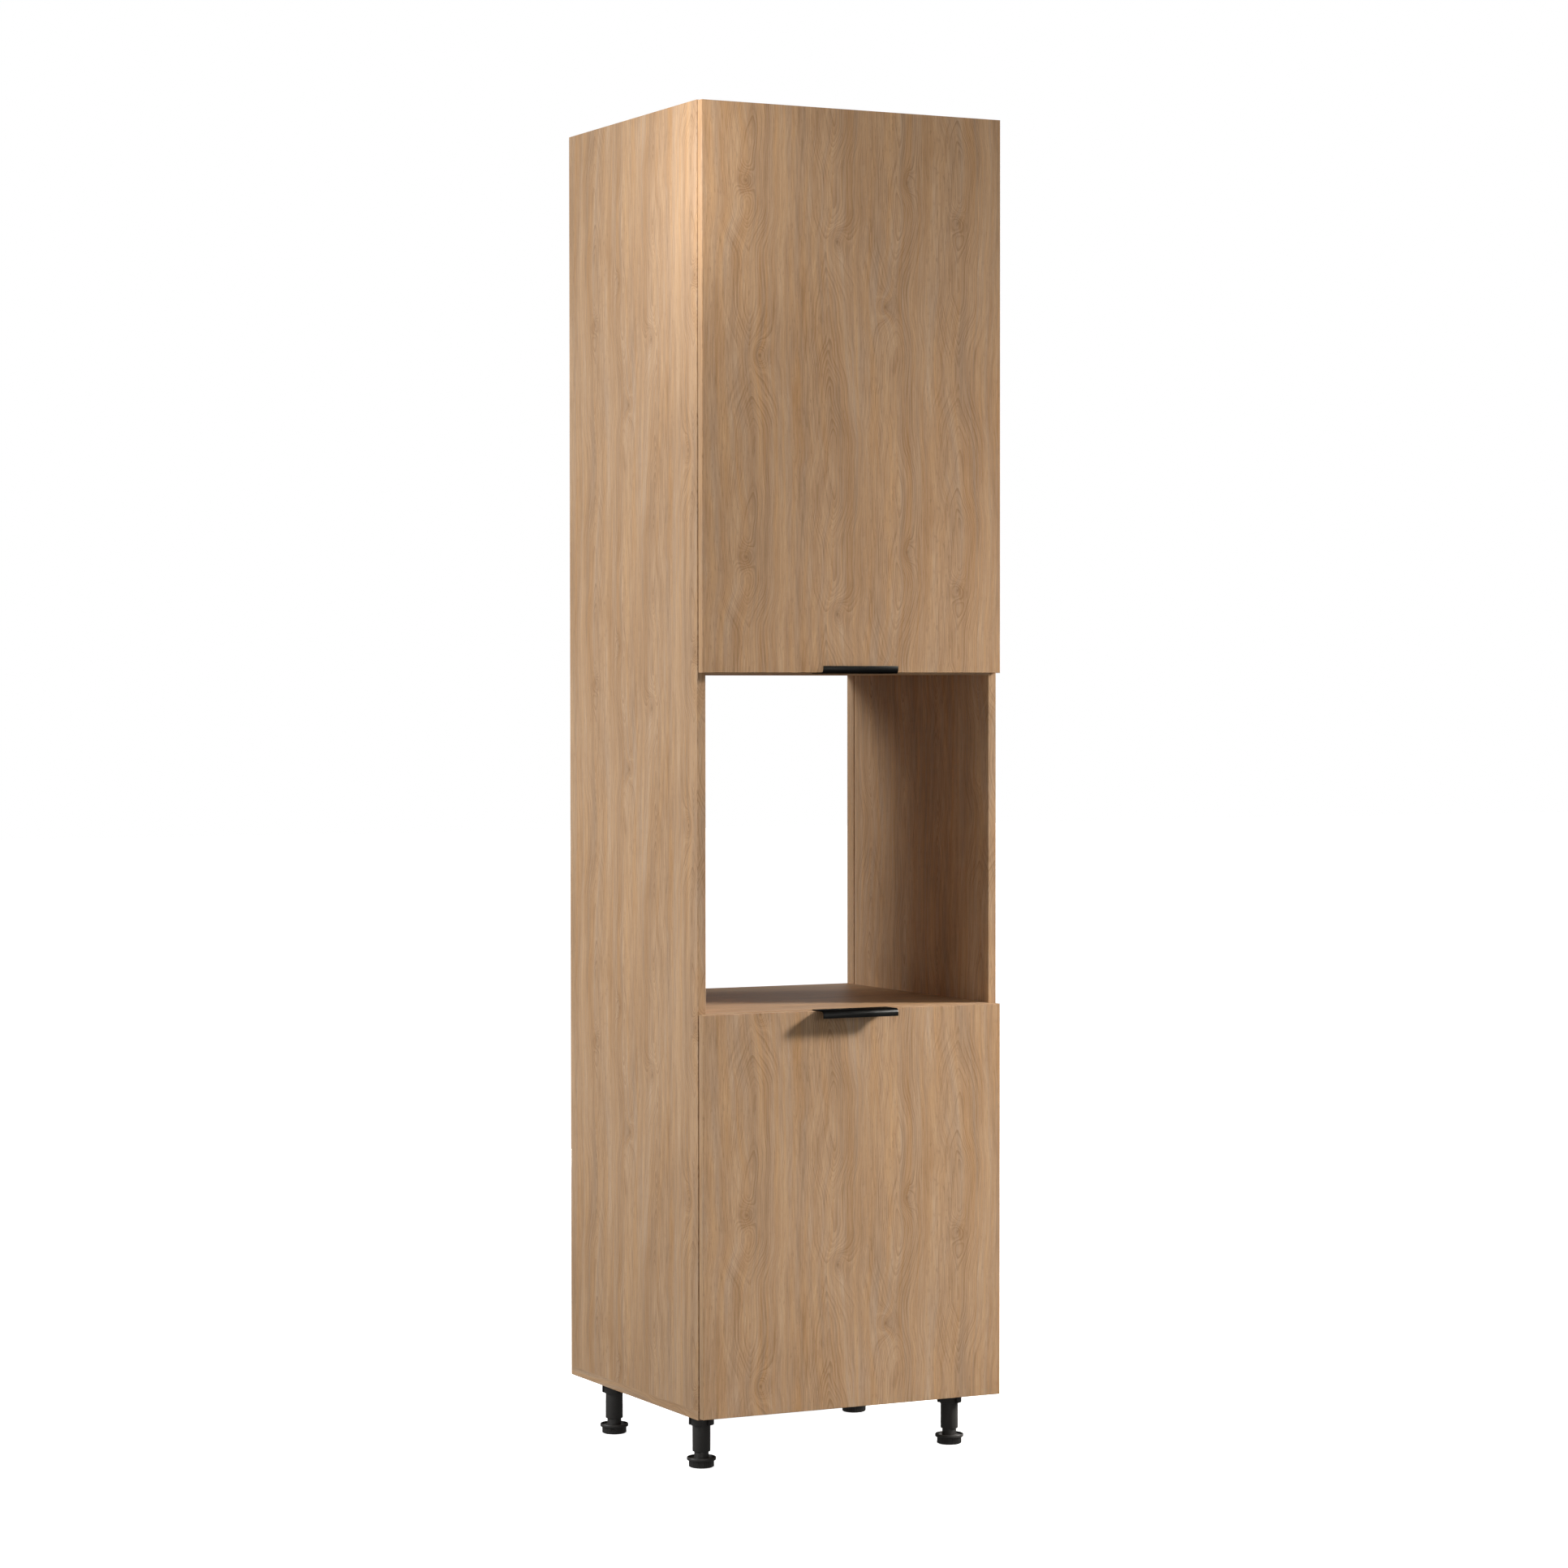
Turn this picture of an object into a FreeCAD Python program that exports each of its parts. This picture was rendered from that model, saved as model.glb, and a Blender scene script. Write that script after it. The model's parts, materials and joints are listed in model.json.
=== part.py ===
import FreeCAD, Part
import math
import os

# Tall kitchen cabinet with an open appliance niche between two hinged doors.
# Millimetres, +Z up. The pieces are modelled with X = 0 on the middle of the cabinet,
# Y = 0 on the front edges of the boards, +Y to the rear and Z = 0 on the floor.

# Carcass boards
width = 600.0
depth = 550.0
board = 16.0
lower_bay_height = 682.5
niche_height = 594.5
upper_bay_height = 969.0
edge_radius = 0.8

# Back panels, held in grooves
back_thickness = 3.0
back_setback = 26.5
groove_depth = 8.0
groove_clearance = 0.15
groove_end_gap = 0.5

# Doors
door_thickness = 16.0
door_gap = 2.0
side_reveal = 1.5
top_reveal = 1.5
bottom_reveal = 3.0
bumper_radius = 4.0
bumper_thickness = 1.6
bumper_inset = 30.0

# Adjustable shelves
shelf_setback = 20.0
shelf_back_gap = 5.0
shelf_side_gap = 0.75
upper_shelf_count = 2
lower_shelf_count = 1
shelf_pin_radius = 2.5
shelf_pin_reach = 9.0
shelf_hole_depth = 9.0
shelf_hole_front = 60.0
shelf_hole_rear = 450.0

# Board fittings
cam_radius = 7.5
cam_height = 12.5
cam_from_end = 34.0
cam_sides = 8
cam_bolt_radius = 2.5
cam_bolt_thread = 11.0
dowel_radius = 4.0
dowel_length = 30.0
dowel_depth = 11.5
fitting_front = 60.0
fitting_rear = 460.0
confirmat_radius = 3.5
confirmat_length = 50.0
confirmat_inset = 50.0
fit_clearance = 0.05

# Hidden screws, pins and dowels have flat sides
fastener_sides = 6

# Wood screws
screw_radius = 1.75
screw_head_radius = 3.4
screw_head = 1.4
screw_length = 14.0

# Wall brackets
bracket_leg = 40.0
bracket_width = 30.0
bracket_sheet = 2.0
bracket_spacing = 400.0
bracket_hole_radius = 3.0
bracket_hole_drop = 24.0
back_hole_clearance = 1.0
back_hole_sides = 12
bracket_screw_setbacks = (12.0, 28.0)

# Handles, bent from one strip
handle_length = 150.0
handle_reach = 27.0
handle_lip = 13.5
handle_sheet = 1.5
handle_bend = 8.0
handle_flange = 28.0
handle_screw_spacing = 96.0
handle_screw_drop = 16.0

# Levelling legs
leg_height = 100.0
leg_side_inset = 48.0
leg_end_inset = 87.5
collar_radius = 22.5
collar_height = 24.0
collar_plate = 3.0
collar_slot = 7.5
spigot_radius = 5.0
spigot_height = 11.0
tube_radius = 16.0
tube_wall = 2.95
tube_top_gap = 6.0
foot_stem_clearance = 0.05
foot_stem_top = 66.0
foot_thread_gap = 10.0
foot_flange_radius = 26.0
foot_flange_height = 6.0
foot_ring_radius = 22.5
foot_ring_height = 12.5
foot_flutes = 24
foot_flute_depth = 1.0
foot_chamfer = 1.5
leg_sides = 24
bore_sides = 12

# Concealed hinges: pivots on the arm are measured from the side's inner face and the front
# edges, pivots in the cup from the door's edge and its rear face
arm_outer_pivot = (21.0, 12.0)
arm_inner_pivot = (33.5, 1.5)
cup_outer_pivot = (11.7, 3.1)
cup_inner_pivot = (17.7, 2.5)
inner_eye_shift = (0.33, -1.45)
inner_eye_play = 1.85
cup_radius = 17.5
cup_depth = 11.5
cup_from_edge = 22.5
cup_floor = 0.8
cup_wall = 0.6
cup_ear = 0.8
cup_flange = 0.8
cup_wing_half = 31.0
cup_wing_reach = 13.0
cup_sides = 16
pin_radius = 1.25
pin_sides = 8
pin_clearance = 0.04
eye_wall = 1.4
inner_eye_wall = 1.0
inner_eye_shoulder = (0.6, 0.8)
inner_link_half = 3.5
outer_link_sheet = 1.5
outer_link_half_width = 2.0
outer_link_hook = 67.0
outer_link_steps = 4
outer_link_web = 3.75
link_side_gap = 0.3
link_door_gap = 0.4
arm_sheet = 1.5
arm_rear = 62.0
arm_base = 3.0
arm_height = 18.0
arm_web_share = 0.75
plate_sheet = 2.0
plate_wing = 26.0
plate_wing_width = 14.0
plate_boss = 8.0
plate_screw_row = 37.0
plate_screw_spacing = 32.0
plate_screw_radius = 2.5
plate_screw_length = 11.0
plate_screw_head_radius = 4.5
plate_screw_head = 1.8
hinge_inset = 100.0
upper_hinge_count = 3
lower_hinge_count = 2

# Levels and faces that follow
side_in = width / 2 - board
bottom_z = leg_height
lower_bay_z = bottom_z + board
niche_floor_z = lower_bay_z + lower_bay_height
niche_z = niche_floor_z + board
niche_top_z = niche_z + niche_height
upper_bay_z = niche_top_z + board
top_z = upper_bay_z + upper_bay_height
cabinet_top = top_z + board
back_y = depth - back_setback - back_thickness
door_back = -door_gap
door_front = door_back - door_thickness
door_half = width / 2 - side_reveal
lower_door_z = (bottom_z + bottom_reveal, niche_z - top_reveal)
upper_door_z = (niche_top_z + bottom_reveal, cabinet_top - top_reveal)
handle_front = door_front - handle_reach
ear_inner = inner_link_half + link_side_gap
ear_outer = ear_inner + cup_ear
outer_link_inner = ear_outer + link_side_gap
pocket_half = outer_link_inner + outer_link_sheet + link_side_gap
arm_half = pocket_half + arm_sheet
frame_shift = FreeCAD.Vector(0, -(depth + handle_front) / 2, 0)


def vec(x, y, z):
    return FreeCAD.Vector(x, y, z)


def box(x, y, z):
    """Block between pairs of coordinates."""
    return Part.makeBox(x[1] - x[0], y[1] - y[0], z[1] - z[0], vec(x[0], y[0], z[0]))


def ring_points(start, axis, radius, sides):
    """Corners of a regular outline round an axis, with its flats at the radius."""
    normal = vec(*axis)
    across = vec(0, 1, 0) if abs(normal.x) > 0.5 else vec(1, 0, 0)
    upright = normal.cross(across)
    corner = radius / math.cos(math.pi / sides)
    middle = vec(*start)
    angles = [2 * math.pi * i / sides for i in range(sides + 1)]
    return [middle + (across * math.cos(a) + upright * math.sin(a)) * corner for a in angles]


def rod(start, axis, length, radius, sides=0):
    """Round bar, or one with flat sides."""
    if not sides:
        return Part.makeCylinder(radius, length, vec(*start), vec(*axis))
    outline = Part.makePolygon(ring_points(start, axis, radius, sides))
    return Part.Face(outline).extrude(vec(*axis) * length)


def taper(start, axis, length, radius_start, radius_end, sides):
    """Bar with flat sides that narrows or widens along its axis."""
    low = ring_points(start, axis, radius_start, sides)
    high = ring_points(vec(*start) + vec(*axis) * length, axis, radius_end, sides)
    outlines = [low, high]
    for i in range(sides):
        outlines.append([low[i], low[i + 1], high[i + 1], high[i], low[i]])
    faces = [Part.Face(Part.makePolygon(outline)) for outline in outlines]
    return Part.makeSolid(Part.makeShell(faces))


def prism(points, z):
    """Upright prism over a plan outline."""
    corners = [vec(px, py, z[0]) for px, py in points]
    outline = Part.makePolygon(corners + corners[:1])
    return Part.Face(outline).extrude(vec(0, 0, z[1] - z[0]))


def soften(shape, chosen):
    """Break the chosen straight edges by the edge banding's radius."""
    return shape.makeChamfer(edge_radius, [edge for edge in shape.Edges if chosen(edge)])


def at_y(edge, y):
    return all(abs(vertex.Y - y) < 1e-6 for vertex in edge.Vertexes)


def screw(tip, axis):
    """Countersunk wood screw, from its tip to the flat of its head."""
    shank = rod(tip, axis, screw_length - screw_head, screw_radius, fastener_sides)
    neck = vec(*tip) + vec(*axis) * (screw_length - screw_head)
    return shank.fuse(taper(neck, axis, screw_head, screw_radius, screw_head_radius, fastener_sides))


def screw_from_head(face, inward):
    """Wood screw with its head flush with a face and its shank pointing inward."""
    tip = vec(*face) + vec(*inward) * screw_length
    return screw(tip, tuple(-c for c in inward))


def export(name, *solids):
    shape = solids[0] if len(solids) == 1 else Part.makeCompound(list(solids))
    shape = shape.copy()
    shape.translate(frame_shift)
    shape.exportStep(f"parts/{name}.step")


# Fittings between the boards

def spread(start, end, count):
    """Even places between two ends, or the middle for one."""
    if count == 1:
        return [(start + end) / 2]
    return [start + (end - start) * i / (count - 1) for i in range(count)]


def joined_panels():
    """Boards held between the sides, as (underside height, cams on the upper face)."""
    return {
        "niche_floor_panel": (niche_floor_z, False),
        "niche_top_panel": (niche_top_z, True),
        "top_panel": (top_z, True),
    }


def shelf_levels():
    """Undersides of the adjustable shelves in both bays."""
    levels = []
    bays = (
        (lower_bay_z, lower_bay_height, lower_shelf_count),
        (upper_bay_z, upper_bay_height, upper_shelf_count),
    )
    for start, height, count in bays:
        clear = (height - count * board) / (count + 1)
        levels.append([start + clear + i * (clear + board) for i in range(count)])
    return levels


def cam_places():
    """Every cam as (side sign, distance from the front, underside height, cams on the upper face)."""
    for z, upward in joined_panels().values():
        for side in (-1, 1):
            for y in (fitting_front, fitting_rear):
                yield side, y, z, upward


def dowel_places():
    for z, _ in joined_panels().values():
        for side in (-1, 1):
            yield side, (fitting_front + fitting_rear) / 2, z + board / 2


def confirmat_places():
    for side in (-1, 1):
        for y in spread(confirmat_inset, depth - confirmat_inset, 3):
            yield side * (width / 2 - board / 2), y


def cam_housing(side, y, z, upward, clearance=0.0):
    """Round housing in a board's face, or with a clearance its hole."""
    face = z + board if upward else z
    inward = -1 if upward else 1
    x = side * (side_in - cam_from_end)
    return rod((x, y, face), (0, 0, inward), cam_height, cam_radius + clearance, cam_sides)


def cam_bolt(side, y, z, end_gap=0.0, clearance=0.0):
    """Bolt from the side panel to the cam, or with a gap and a clearance its hole."""
    length = cam_bolt_thread + end_gap + cam_from_end - cam_radius / math.cos(math.pi / cam_sides)
    start = (side * (side_in + cam_bolt_thread + end_gap), y, z + board / 2)
    return rod(start, (-side, 0, 0), length, cam_bolt_radius + clearance, fastener_sides)


def dowel(side, y, z, end_gap=0.0, clearance=0.0):
    """Dowel across a joint, or with a gap and a clearance its hole."""
    start = (side * (side_in + dowel_depth + end_gap), y, z)
    return rod(start, (-side, 0, 0), dowel_length + 2 * end_gap, dowel_radius + clearance, fastener_sides)


def confirmat(x, y, end_gap=0.0, clearance=0.0):
    """Long screw up through the bottom panel, or with a gap and a clearance its hole."""
    length = confirmat_length + end_gap
    return rod((x, y, bottom_z), (0, 0, 1), length, confirmat_radius + clearance, fastener_sides)


def shelf_pin(side, y, z, end_gap=0.0, clearance=0.0):
    """Pin under a shelf, or with a gap and a clearance its hole."""
    start = (side * (side_in - shelf_pin_reach), y, z - shelf_pin_radius)
    length = shelf_pin_reach + shelf_hole_depth + end_gap
    return rod(start, (side, 0, 0), length, shelf_pin_radius + clearance, fastener_sides)


def shelf_pin_places(levels):
    for z in levels:
        for side in (-1, 1):
            for y in (shelf_hole_front, shelf_hole_rear):
                yield side, y, z


# Carcass

def side_panel(side):
    x = sorted((side * side_in, side * width / 2))
    panel = soften(box(x, (0, depth), (lower_bay_z, cabinet_top)),
                   lambda edge: at_y(edge, 0) and edge.Length > depth)
    cuts = [groove(sorted((side * side_in, side * (side_in + groove_depth))), (lower_bay_z, cabinet_top))]
    bolts = [(s, y, z) for s, y, z, _ in cam_places()]
    pins = shelf_pin_places(sum(shelf_levels(), []))
    for make, places in ((cam_bolt, bolts), (dowel, dowel_places()), (shelf_pin, pins)):
        cuts += [make(*place, groove_end_gap, fit_clearance) for place in places if place[0] == side]
    cuts += [confirmat(x, y, groove_end_gap, fit_clearance) for x, y in confirmat_places() if x * side > 0]
    if side < 0:
        cuts += [plate_screw(y, z, groove_end_gap, fit_clearance) for y, z in plate_screw_places()]
    return panel.cut(cuts)


def groove(x, z):
    """Slot that holds an edge of a back panel."""
    return box(x, (back_y - groove_clearance, back_y + back_thickness + groove_clearance), z)


def joined_panel(name):
    z, _ = joined_panels()[name]
    panel = soften(box((-side_in, side_in), (0, depth), (z, z + board)),
                   lambda edge: at_y(edge, 0) and edge.Length > board)
    grooved_face = {"niche_floor_panel": z, "niche_top_panel": z + board, "top_panel": z}[name]
    groove_end = grooved_face + (groove_depth if grooved_face == z else -groove_depth)
    cuts = [groove((-side_in, side_in), sorted((grooved_face, groove_end)))]
    for side, y, level, upward in cam_places():
        if level == z:
            cuts.append(cam_housing(side, y, z, upward, fit_clearance))
            cuts.append(cam_bolt(side, y, z, groove_end_gap, fit_clearance))
    for side, y, level in dowel_places():
        if z < level < z + board:
            cuts.append(dowel(side, y, level, groove_end_gap, fit_clearance))
    if name == "top_panel":
        cuts += wall_bracket_screws()
    return panel.cut(cuts)


def bottom_panel():
    panel = soften(box((-width / 2, width / 2), (0, depth), (bottom_z, lower_bay_z)),
                   lambda edge: at_y(edge, 0) and edge.Length > board)
    reach = side_in + groove_depth
    cuts = [groove((-reach, reach), (lower_bay_z - groove_depth, lower_bay_z))]
    cuts += [confirmat(x, y, groove_end_gap, fit_clearance) for x, y in confirmat_places()]
    cuts += [spigot(x, y, groove_end_gap, fit_clearance) for x, y in leg_places().values()]
    return panel.cut(cuts)


def back_panel(z):
    reach = groove_depth - groove_end_gap
    half = side_in + reach
    panel = box((-half, half), (back_y, back_y + back_thickness), (z[0] - reach, z[1] + reach))
    return panel.cut(bracket_holes(back_hole_clearance, back_hole_sides))


def shelf(z):
    half = side_in - shelf_side_gap
    shape = box((-half, half), (shelf_setback, back_y - shelf_back_gap), (z, z + board))
    return soften(shape, lambda edge: at_y(edge, shelf_setback) and edge.Length > board)


# Wall brackets under the top panel

def bracket_places():
    return spread(-bracket_spacing / 2, bracket_spacing / 2, 2)


def bracket_holes(clearance=0.0, sides=0):
    """Round holes for the wall screws, or with a clearance those in the back panel."""
    start_y = back_y - bracket_sheet
    z = top_z - bracket_hole_drop
    length = bracket_sheet + back_thickness
    return [rod((x, start_y, z), (0, 1, 0), length, bracket_hole_radius + clearance, sides)
            for x in bracket_places()]


def wall_bracket_screws():
    solids = []
    for x in bracket_places():
        for setback in bracket_screw_setbacks:
            solids.append(screw_from_head((x, back_y - setback, top_z - bracket_sheet), (0, 0, 1)))
    return solids


def wall_bracket(x):
    across = (x - bracket_width / 2, x + bracket_width / 2)
    flat = box(across, (back_y - bracket_leg, back_y), (top_z - bracket_sheet, top_z))
    upright = box(across, (back_y - bracket_sheet, back_y), (top_z - bracket_leg, top_z))
    return flat.fuse(upright).removeSplitter().cut(bracket_holes() + wall_bracket_screws())


# Doors and handles

def door(z, hinge_levels, handle_edge, handle_side):
    shape = box((-door_half, door_half), (door_front, door_back), z)
    shape = soften(shape, lambda edge: at_y(edge, door_front))
    cuts = [cup_body(level) for level in hinge_levels]
    return shape.cut(cuts + handle_screws(handle_edge, handle_side))


def handle(edge, side):
    """Strip over the door's edge: flange behind it, plate across it, rounded lip in front of it.

    edge is the height of the door's edge, side is 1 on a top edge and -1 on a bottom edge.
    """
    rear = door_back + handle_sheet
    over = edge + side * handle_sheet
    behind = edge - side * handle_flange
    lip_end = over - side * handle_lip
    lip_inner = handle_front + handle_sheet
    centre_y = handle_front + handle_bend
    centre_z = over - side * handle_bend
    diagonal = math.sqrt(0.5)

    def point(y, z):
        return vec(-handle_length / 2, y, z)

    def line(start, end):
        return Part.LineSegment(point(*start), point(*end))

    def bend(radius):
        return point(centre_y - radius * diagonal, centre_z + side * radius * diagonal)

    outer = [
        line((rear, behind), (rear, over)),
        line((rear, over), (centre_y, over)),
        Part.Arc(point(centre_y, over), bend(handle_bend), point(handle_front, centre_z)),
        line((handle_front, centre_z), (handle_front, lip_end)),
        line((handle_front, lip_end), (lip_inner, lip_end)),
        line((lip_inner, lip_end), (lip_inner, centre_z)),
        Part.Arc(point(lip_inner, centre_z), bend(handle_bend - handle_sheet), point(centre_y, edge)),
        line((centre_y, edge), (door_back, edge)),
        line((door_back, edge), (door_back, behind)),
        line((door_back, behind), (rear, behind)),
    ]
    section = Part.Face(Part.Wire([line.toShape() for line in outer]))
    return section.extrude(vec(handle_length, 0, 0)).cut(handle_screws(edge, side))


def handle_screws(edge, side):
    z = edge - side * handle_screw_drop
    places = spread(-handle_screw_spacing / 2, handle_screw_spacing / 2, 2)
    return [screw_from_head((x, door_back + handle_sheet, z), (0, -1, 0)) for x in places]


def bumpers(z):
    x = width / 2 - board / 2
    return [rod((x, door_back, level), (0, 1, 0), bumper_thickness, bumper_radius, pin_sides)
            for level in (z[0] + bumper_inset, z[1] - bumper_inset)]


# Concealed hinges, left side

def hinge_levels(z, count):
    return spread(z[0] + hinge_inset, z[1] - hinge_inset, count)


def arm_point(pivot):
    return -side_in + pivot[0], pivot[1]


def cup_point(pivot):
    return -door_half + pivot[0], door_back - pivot[1]


def along(start, end):
    """Unit direction and length between two plan points."""
    dx, dy = end[0] - start[0], end[1] - start[1]
    length = math.hypot(dx, dy)
    return dx / length, dy / length, length


def upright_bar(point, z, radius, sides):
    return rod((point[0], point[1], z[0]), (0, 0, 1), z[1] - z[0], radius, sides)


def hinge_pin(point, z):
    return upright_bar(point, z, pin_radius, pin_sides)


def eye_hole(point, z):
    """Hole in which a hinge pin turns freely."""
    return upright_bar(point, z, pin_radius / math.cos(math.pi / pin_sides) + pin_clearance, pin_sides)


def both_sides(level, inner, outer):
    """The two height ranges that mirror each other about a hinge's middle."""
    return (level - outer, level - inner), (level + inner, level + outer)


def cup_centre_x():
    return -door_half + cup_from_edge


def cup_body(level):
    return rod((cup_centre_x(), door_back, level), (0, -1, 0), cup_depth, cup_radius, cup_sides)


def cup(level):
    centre = cup_centre_x()
    flange_x = (cup_point(cup_outer_pivot)[0], centre + cup_wing_reach)
    flange_z = (level - cup_wing_half, level + cup_wing_half)
    flange = box(flange_x, (door_back, door_back + cup_flange), flange_z)
    chord = math.sqrt(cup_radius ** 2 - pocket_half ** 2) - cup_wall
    pocket_floor = door_back - cup_depth + cup_floor
    pocket = box((centre - chord, centre + chord), (pocket_floor, door_back + cup_flange),
                 (level - pocket_half, level + pocket_half))
    pin_x, pin_y = cup_point(cup_inner_pivot)
    eye = pin_radius + eye_wall
    ears = [box((pin_x - eye, pin_x + eye), (pocket_floor, pin_y + eye), z)
            for z in both_sides(level, ear_inner, ear_outer)]
    shape = cup_body(level).fuse(flange).cut(pocket)
    return shape.multiFuse(ears + cup_pins(level)).removeSplitter()


def cup_pins(level):
    """Stub pins for the outer link's two cheeks and one pin between the ears for the inner link."""
    outer_pin = cup_point(cup_outer_pivot)
    seat = pocket_half + eye_wall
    stubs = [hinge_pin(outer_pin, z) for z in both_sides(level, outer_link_inner, seat)]
    return stubs + [hinge_pin(cup_point(cup_inner_pivot), (level - ear_outer, level + ear_outer))]


def outer_link(level):
    """Hooked pair of cheeks joined by a web, between the arm's rear pivot and the cup's edge pivot."""
    start = cup_point(cup_outer_pivot)
    end = arm_point(arm_outer_pivot)
    dx, dy, chord = along(start, end)
    half_angle = math.radians(outer_link_hook)
    radius = chord / 2 / math.sin(half_angle)
    middle = ((start[0] + end[0]) / 2, (start[1] + end[1]) / 2)
    rise = radius * math.cos(half_angle)
    centre = (middle[0] - dy * rise, middle[1] + dx * rise)

    def on_arc(angle, r):
        """Plan point at an angle from the chord's middle direction, seen from the arc's centre."""
        c, s = math.cos(angle), math.sin(angle)
        return centre[0] + r * (dy * c + dx * s), centre[1] + r * (-dx * c + dy * s)

    def strip(from_angle, to_angle, steps, r_in, r_out, z):
        angles = spread(from_angle, to_angle, steps + 1)
        outline = [on_arc(a, r_out) for a in angles] + [on_arc(a, r_in) for a in reversed(angles)]
        return prism(outline, z)

    eye = pin_radius + eye_wall
    radius_in = radius - outer_link_half_width
    radius_out = radius + outer_link_half_width
    thickness = (outer_link_inner, outer_link_inner + outer_link_sheet)
    pieces = []
    for z in both_sides(level, *thickness):
        pieces.append(strip(-half_angle, half_angle, outer_link_steps, radius_in, radius_out, z))
        pieces += [upright_bar(point, z, eye, pin_sides) for point in (start, end)]
    web_from = half_angle - (eye + outer_link_web) / radius
    web_to = half_angle - eye / radius
    web_z = (level - outer_link_inner - outer_link_sheet, level + outer_link_inner + outer_link_sheet)
    pieces.append(strip(web_from, web_to, 1, radius_in, radius_in + outer_link_sheet, web_z))
    shape = pieces[0].multiFuse(pieces[1:]).removeSplitter()
    return shape.cut([eye_hole(point, web_z) for point in (start, end)])


def inner_link(level):
    """Flat link between the arm's front pivot and the cup's inner pin, with a wide eye at the pin."""
    z = (level - inner_link_half, level + inner_link_half)
    arm_end = arm_point(arm_inner_pivot)
    pin = cup_point(cup_inner_pivot)
    eye_centre = (pin[0] + inner_eye_shift[0], pin[1] + inner_eye_shift[1])
    small = pin_radius + eye_wall
    hole = pin_radius + inner_eye_play
    large = hole + inner_eye_wall
    throat = door_back + link_door_gap
    knee = cup_centre_x() + cup_radius - large
    shoulder_x = eye_centre[0] + large * inner_eye_shoulder[0]
    shoulder_rise = large * inner_eye_shoulder[1]
    outline = [
        (arm_end[0], arm_end[1] + small),
        (shoulder_x, eye_centre[1] + shoulder_rise),
        (shoulder_x, eye_centre[1] - shoulder_rise),
        (knee, throat),
        (arm_end[0], throat),
    ]
    pieces = [upright_bar(arm_end, z, small, pin_sides), upright_bar(eye_centre, z, large, pin_sides)]
    shape = prism(outline, z).multiFuse(pieces).removeSplitter()
    return shape.cut([eye_hole(arm_end, z), upright_bar(eye_centre, z, hole, pin_sides)])


def arm_pins(level):
    return [hinge_pin(arm_point(pivot), (level - arm_half, level + arm_half))
            for pivot in (arm_outer_pivot, arm_inner_pivot)]


def hinge_arm(level):
    """Channel over the mounting plate, whose cheeks run forward to both arm pivots."""
    outer_eye = arm_point(arm_outer_pivot)
    inner_eye = arm_point(arm_inner_pivot)
    eye = pin_radius + eye_wall
    base = -side_in + arm_base
    ridge = -side_in + arm_height
    outline = [
        (base, arm_rear),
        (ridge, arm_rear),
        (outer_eye[0] + 2 * eye, outer_eye[1] + eye),
        (inner_eye[0] + eye, inner_eye[1]),
        (inner_eye[0] - eye, inner_eye[1]),
        (outer_eye[0] - eye, outer_eye[1]),
        (base, plate_screw_row - plate_wing_width),
    ]
    pieces = []
    for z in both_sides(level, pocket_half, arm_half):
        pieces.append(prism(outline, z))
        pieces += [upright_bar(point, z, eye, pin_sides) for point in (outer_eye, inner_eye)]
    ridge_end = (outer_eye[0] + 2 * eye, outer_eye[1] + eye)
    dx, dy, run = along((ridge, arm_rear), ridge_end)
    front = (ridge + dx * run * arm_web_share, arm_rear + dy * run * arm_web_share)
    web = [
        (ridge, arm_rear),
        front,
        (front[0] + dy * arm_sheet, front[1] - dx * arm_sheet),
        (ridge + dy * arm_sheet, arm_rear - dx * arm_sheet),
    ]
    pieces.append(prism(web, (level - arm_half, level + arm_half)))
    return pieces[0].multiFuse(pieces[1:] + arm_pins(level)).removeSplitter()


def hinge_plate(level):
    """Mounting plate: two screwed wings and a boss that fills the arm's channel."""
    face = -side_in
    wing_y = (plate_screw_row - plate_wing_width / 2, plate_screw_row + plate_wing_width / 2)
    wings = box((face, face + plate_sheet), wing_y, (level - plate_wing, level + plate_wing))
    half = pocket_half - link_side_gap
    boss_y = (plate_screw_row - plate_wing_width, arm_rear)
    boss = box((face, face + plate_boss), boss_y, (level - half, level + half))
    rail = box((face, face + arm_base), boss_y, (level - arm_half, level + arm_half))
    shape = wings.multiFuse([boss, rail]).removeSplitter()
    return shape.cut(plate_screws(level))


def plate_screw_places():
    levels = hinge_levels(lower_door_z, lower_hinge_count) + hinge_levels(upper_door_z, upper_hinge_count)
    return [(plate_screw_row, level + side * plate_screw_spacing / 2) for level in levels for side in (-1, 1)]


def plate_screw(y, z, end_gap=0.0, clearance=0.0):
    """Screw through a plate's wing, or with a gap and a clearance its hole."""
    start = (-side_in + plate_sheet, y, z)
    length = plate_screw_length + plate_sheet + end_gap
    shank = rod(start, (-1, 0, 0), length, plate_screw_radius + clearance, fastener_sides)
    return shank.fuse(rod(start, (1, 0, 0), plate_screw_head, plate_screw_head_radius, fastener_sides))


def plate_screws(level):
    return [plate_screw(plate_screw_row, level + side * plate_screw_spacing / 2) for side in (-1, 1)]


# Levelling legs

def leg_places():
    x = width / 2 - leg_side_inset
    return {
        "front_left": (-x, leg_end_inset),
        "front_right": (x, leg_end_inset),
        "rear_left": (-x, depth - leg_end_inset),
        "rear_right": (x, depth - leg_end_inset),
    }


def spigot(x, y, end_gap=0.0, clearance=0.0):
    """Peg of a collar in the bottom panel, or with a gap and a clearance its hole."""
    return rod((x, y, bottom_z), (0, 0, 1), spigot_height + end_gap, spigot_radius + clearance, pin_sides)


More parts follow.
